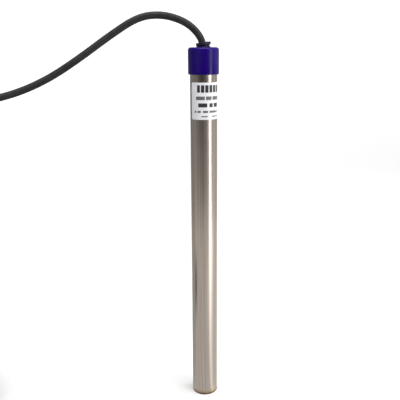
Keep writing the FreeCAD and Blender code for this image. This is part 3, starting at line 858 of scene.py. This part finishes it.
def floor_glow(m):
    """Greys by direction, with a bright streak on the right that strengthens away from the foot."""
    shade, strength = by_turn(
        m, (-180, 0.6), (-146, 0.50), (-116, 0.42), (-96, 0.60), (-80, 0.66), (0, 0.63), (38, 0.74),
        (90, 0.76), (140, 0.74), (180, 0.6))
    streak, streak_strength = by_turn(
        m, (-180, 0.0), (38, 0.0), (51, 1.0), (60, 0.7), (76, 0.3), (92, 0.0))
    away = m.ramp(m.reach(), (0.0, 0.55), (0.12, 0.75), (0.3, 1.6), (0.5, 2.6))
    streak = m.mix(1.0, streak, away, "MULTIPLY")
    return m.mix(1.0, shade, m.mix(1.0, streak, streak_strength / strength, "MULTIPLY"), "ADD"), strength


def make_tent():
    """The studio as the rod mirrors it: a wall of greys all round, and the floor near the foot."""
    radius, height, drop, count = 0.75, 1.6, 0.001, 96
    ring = [around_rod(360 * k / count, radius, h) for h in (0.0, height) for k in range(count)]
    faces = [(k, (k + 1) % count, count + (k + 1) % count, count + k) for k in range(count)]
    reflection_only(stage_mesh("tent_wall", ring, faces, emitter("tent_wall_glow", wall_glow)))
    disc = [around_rod(360 * k / count, radius, -drop) for k in range(count)]
    floor_faces = [tuple(range(count))]
    reflection_only(stage_mesh("tent_floor", disc, floor_faces, emitter("tent_floor_glow", floor_glow)))


def area_light(name, turn, distance, height, wide, tall, watts, colour=(1, 1, 1), aim=0.18):
    """A rectangular lamp that points at the rod's axis, at the height called aim."""
    light = bpy.data.lights.new(name, "AREA")
    light.shape = "RECTANGLE"
    light.size, light.size_y = wide, tall
    light.energy = watts
    light.color = colour
    lamp = bpy.data.objects.new(name, light)
    lamp.location = around_rod(turn, distance, height)
    lamp.rotation_euler = (Vector((0, 0, aim)) - lamp.location).to_track_quat("-Z", "Y").to_euler()
    bpy.context.collection.objects.link(lamp)
    return lamp


def make_lights():
    """A tall strip to the right, a softbox overhead, and two soft fills that no reflection shows."""
    area_light("key_strip", turn=55, distance=0.66, height=0.66, wide=0.19, tall=1.30, watts=3.0,
               colour=(1.0, 0.975, 0.94), aim=0.60)
    area_light("overhead", turn=-12, distance=0.22, height=1.40, wide=1.1, tall=1.0, watts=10.0, aim=0.36)
    for name, turn, watts in (("right_fill", 105, 8.0), ("left_fill", -38, 3.6)):
        fill = area_light(name, turn, distance=0.95, height=0.45, wide=0.7, tall=0.9, watts=watts)
        fill.visible_glossy = False


def make_window():
    """A wide window to the right: a sun so broad that its shadows are soft."""
    sun = bpy.data.lights.new("window", "SUN")
    sun.energy = 1.6
    sun.angle = math.radians(48)
    window = bpy.data.objects.new("window", sun)
    window.location = around_rod(50, 1.0, 0.9)
    window.rotation_euler = (-window.location).to_track_quat("-Z", "Y").to_euler()
    window.visible_glossy = False
    bpy.context.collection.objects.link(window)


def make_world():
    """A white surround that is dim below the horizon and brighter above it."""
    world = bpy.data.worlds.new("studio")
    world.use_nodes = True
    tree = world.node_tree
    place = tree.nodes.new("ShaderNodeTexCoord")
    split = tree.nodes.new("ShaderNodeSeparateXYZ")
    rise = tree.nodes.new("ShaderNodeMapRange")
    for socket, value in (("From Min", -0.25), ("From Max", 0.35), ("To Min", 0.08), ("To Max", 0.34)):
        rise.inputs[socket].default_value = value
    tree.links.new(place.outputs["Generated"], split.inputs["Vector"])
    tree.links.new(split.outputs["Z"], rise.inputs["Value"])
    tree.links.new(rise.outputs["Result"], tree.nodes["Background"].inputs["Strength"])
    tree.nodes["Background"].inputs["Color"].default_value = (1, 1, 1, 1)
    bpy.context.scene.world = world


def make_floor():
    """A white floor that curves up into a white wall all round; it lights nothing and no metal mirrors it."""
    reach, bend, height, middle, count, steps = 3.0, 1.5, 4.0, 0.02, 96, 12
    outline = [(middle, 0.0), (reach - bend, 0.0)]
    for k in range(1, steps + 1):
        a = math.pi / 2 * k / steps
        outline.append((reach - bend + bend * math.sin(a), bend - bend * math.cos(a)))
    outline.append((reach, height))
    vertices = [around_rod(360 * k / count, r, h) for r, h in outline for k in range(count)]
    faces = [tuple(range(count))]
    for row in range(len(outline) - 1):
        low = row * count
        faces += [(low + k, low + count + k, low + count + (k + 1) % count, low + (k + 1) % count)
                  for k in range(count)]
    m = Nodes("floor_white", Roughness=1.0, Specular_IOR_Level=0.0, Emission_Color=(1, 1, 1, 1))
    away = m.math("MULTIPLY", m.reach(), 1 / height)
    glow = m.ramp(away, (0.07, 0.15), (0.25, 0.38), (0.375, 0.49), (0.75, 0.68))
    m.link(glow, m.shader.inputs["Emission Strength"])
    m.colour(m.ramp(m.noise(2, 2), (0.0, 0.79), (1.0, 0.81)))
    floor = stage_mesh("floor", vertices, faces, m.material)
    floor.data.shade_smooth()
    for ray in ("diffuse", "glossy", "transmission"):
        setattr(floor, f"visible_{ray}", False)


def make_stage():
    """The backdrop, what the metal mirrors, the light, and plain colours."""
    make_floor()
    make_tent()
    make_lights()
    make_window()
    make_world()
    scene = bpy.context.scene
    scene.view_settings.view_transform = "Standard"
    scene.view_settings.look = "None"


def make_camera():
    """A camera above the rod's middle, looking a little down; its angles are in degrees."""
    data = bpy.data.cameras.new("camera")
    data.sensor_width = 36.0
    data.lens = 52.67
    camera = bpy.data.objects.new("camera", data)
    camera.location = (-0.0094, -0.6145, 0.3891)
    pitch, roll, yaw = 14.54, -0.38, 0.46
    look = (Matrix.Rotation(math.radians(-yaw), 4, "Z") @ Matrix.Rotation(math.radians(90 - pitch), 4, "X")
            @ Matrix.Rotation(math.radians(roll), 4, "Z"))
    camera.rotation_euler = look.to_euler()
    bpy.context.collection.objects.link(camera)
    bpy.context.scene.camera = camera


make_camera()
lead_piece = make_cord()
straps = make_ties()
plug_pieces = make_plug()
make_sheath()
make_foot()
make_cap()
make_gland()
make_label()
finish_cad_nodes()
make_stage()
